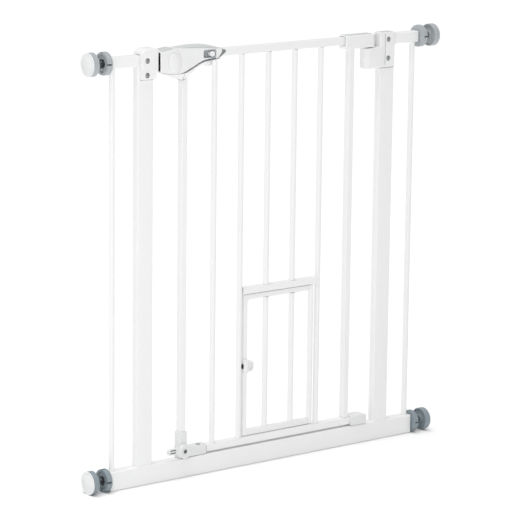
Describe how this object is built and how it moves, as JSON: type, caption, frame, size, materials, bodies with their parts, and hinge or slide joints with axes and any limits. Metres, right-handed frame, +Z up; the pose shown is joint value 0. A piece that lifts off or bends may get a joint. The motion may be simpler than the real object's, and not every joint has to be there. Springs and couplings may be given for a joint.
{
  "type": "pet gate",
  "caption": "Pressure-fit pet gate with a lift-and-swing barred door, slide latch and a small latched cat door, clamped between walls by screw pads.",
  "frame": {"origin": "middle of the base tube's underside, on the floor", "axes": "+X along the gate towards the hinge side, +Y away from the front, +Z up"},
  "size_m": [0.767, 0.041, 0.7706],
  "materials": {
    "painted_steel": "semi-gloss white powder coat",
    "white_plastic": "satin white moulding",
    "grey_plastic": "matte grey moulding",
    "grip_plastic": "matte light grey moulding",
    "pad_rubber": "matte pale rubber",
    "dark_steel": "dark plated steel"
  },
  "bodies": {
    "frame": {"base_tube": "painted_steel", "left_post": "painted_steel", "right_post": "painted_steel", "left_upper_arm": "painted_steel", "right_upper_arm": "painted_steel", "left_side_bar": "painted_steel", "right_side_bar": "painted_steel", "latch_strike": "white_plastic", "strike_screw_upper": "dark_steel", "strike_screw_lower": "dark_steel", "hinge_housing": "white_plastic", "hinge_screw_upper": "dark_steel", "hinge_screw_lower": "dark_steel", "closing_spring": "dark_steel", "end_plug_upper_left": "grey_plastic", "end_plug_upper_right": "grey_plastic", "end_plug_lower_left": "grey_plastic", "end_plug_lower_right": "grey_plastic"},
    "hinge_carrier": {"upper_hinge_pin": "dark_steel"},
    "door": {"door_top_rail": "painted_steel", "door_bottom_rail": "painted_steel", "latch_stile": "painted_steel", "hinge_stile": "painted_steel", "door_bar_1": "painted_steel", "door_bar_2": "painted_steel", "door_bar_3": "painted_steel", "door_bar_4": "painted_steel", "door_bar_5": "painted_steel", "cat_door_lintel": "painted_steel", "hinge_cap": "white_plastic", "lower_hinge_shoe": "white_plastic", "corner_foot": "white_plastic", "handle_front_shell": "white_plastic", "handle_rear_shell": "white_plastic"},
    "latch": {"latch_bolt": "white_plastic", "release_slide": "grip_plastic"},
    "lock": {"lock_button": "white_plastic"},
    "lever": {"foot_lever": "white_plastic"},
    "cat_door": {"cat_door_frame": "painted_steel", "cat_door_bar_1": "painted_steel", "cat_door_bar_2": "painted_steel", "cat_door_hinge_bar": "painted_steel", "cat_latch_plate": "white_plastic"},
    "cat_latch": {"cat_latch_bolt": "white_plastic"},
    "wheel_upper_left": {"hand_wheel_upper_left": "grey_plastic"},
    "wheel_upper_right": {"hand_wheel_upper_right": "grey_plastic"},
    "wheel_lower_left": {"hand_wheel_lower_left": "grey_plastic"},
    "wheel_lower_right": {"hand_wheel_lower_right": "grey_plastic"},
    "clamp_upper_left": {"spindle_upper_left": "dark_steel", "pad_cup_upper_left": "grey_plastic", "wall_pad_upper_left": "pad_rubber"},
    "clamp_upper_right": {"spindle_upper_right": "dark_steel", "pad_cup_upper_right": "grey_plastic", "wall_pad_upper_right": "pad_rubber"},
    "clamp_lower_left": {"spindle_lower_left": "dark_steel", "pad_cup_lower_left": "grey_plastic", "wall_pad_lower_left": "pad_rubber"},
    "clamp_lower_right": {"spindle_lower_right": "dark_steel", "pad_cup_lower_right": "grey_plastic", "wall_pad_lower_right": "pad_rubber"}
  },
  "joints": [
    {"name": "door_lift", "type": "slide", "parent": "frame", "child": "hinge_carrier", "axis": [0, 0, 1], "range_m": [0, 0.006]},
    {"name": "gate_swing", "type": "hinge", "parent": "hinge_carrier", "child": "door", "pos_m": [0.2255, 0, 0.4], "axis": [0, 0, 1], "range_deg": [-90, 90], "stiffness_Nm_per_rad": 0.3},
    {"name": "latch_slide", "type": "slide", "parent": "door", "child": "latch", "axis": [1, 0, 0], "range_m": [0, 0.008], "stiffness_N_per_m": 400, "springref_m": -0.004},
    {"name": "lock_slide", "type": "slide", "parent": "door", "child": "lock", "axis": [-1, 0, 0], "range_m": [0, 0.012]},
    {"name": "lever_turn", "type": "hinge", "parent": "door", "child": "lever", "pos_m": [-0.1845, -0.012, 0.0488], "axis": [0, 1, 0], "range_deg": [0, 80]},
    {"name": "cat_door_swing", "type": "hinge", "parent": "door", "child": "cat_door", "pos_m": [0.1045, 0, 0.18], "axis": [0, 0, 1], "range_deg": [-90, 90]},
    {"name": "cat_latch_slide", "type": "slide", "parent": "cat_door", "child": "cat_latch", "axis": [1, 0, 0], "range_m": [0, 0.006], "stiffness_N_per_m": 200, "springref_m": -0.003},
    {"name": "wheel_turn_upper_left", "type": "hinge", "parent": "frame", "child": "wheel_upper_left", "pos_m": [-0.35, 0, 0.75], "axis": [-1, 0, 0], "range_deg": [-1800, 1440]},
    {"name": "wheel_turn_upper_right", "type": "hinge", "parent": "frame", "child": "wheel_upper_right", "pos_m": [0.35, 0, 0.75], "axis": [1, 0, 0], "range_deg": [-1800, 1440]},
    {"name": "wheel_turn_lower_left", "type": "hinge", "parent": "frame", "child": "wheel_lower_left", "pos_m": [-0.35, 0, 0.0205], "axis": [-1, 0, 0], "range_deg": [-1800, 1440]},
    {"name": "wheel_turn_lower_right", "type": "hinge", "parent": "frame", "child": "wheel_lower_right", "pos_m": [0.35, 0, 0.0205], "axis": [1, 0, 0], "range_deg": [-1800, 1440]},
    {"name": "clamp_slide_upper_left", "type": "slide", "parent": "frame", "child": "clamp_upper_left", "axis": [-1, 0, 0], "range_m": [-0.012, 0.015]},
    {"name": "clamp_slide_upper_right", "type": "slide", "parent": "frame", "child": "clamp_upper_right", "axis": [1, 0, 0], "range_m": [-0.012, 0.015]},
    {"name": "clamp_slide_lower_left", "type": "slide", "parent": "frame", "child": "clamp_lower_left", "axis": [-1, 0, 0], "range_m": [-0.012, 0.015]},
    {"name": "clamp_slide_lower_right", "type": "slide", "parent": "frame", "child": "clamp_lower_right", "axis": [1, 0, 0], "range_m": [-0.012, 0.015]}
  ],
  "couplings": [
    {"joint": "wheel_turn_upper_left", "follows": "clamp_slide_upper_left", "rad_per_m": -2094.3},
    {"joint": "wheel_turn_upper_right", "follows": "clamp_slide_upper_right", "rad_per_m": -2094.3},
    {"joint": "wheel_turn_lower_left", "follows": "clamp_slide_lower_left", "rad_per_m": -2094.3},
    {"joint": "wheel_turn_lower_right", "follows": "clamp_slide_lower_right", "rad_per_m": -2094.3}
  ]
}
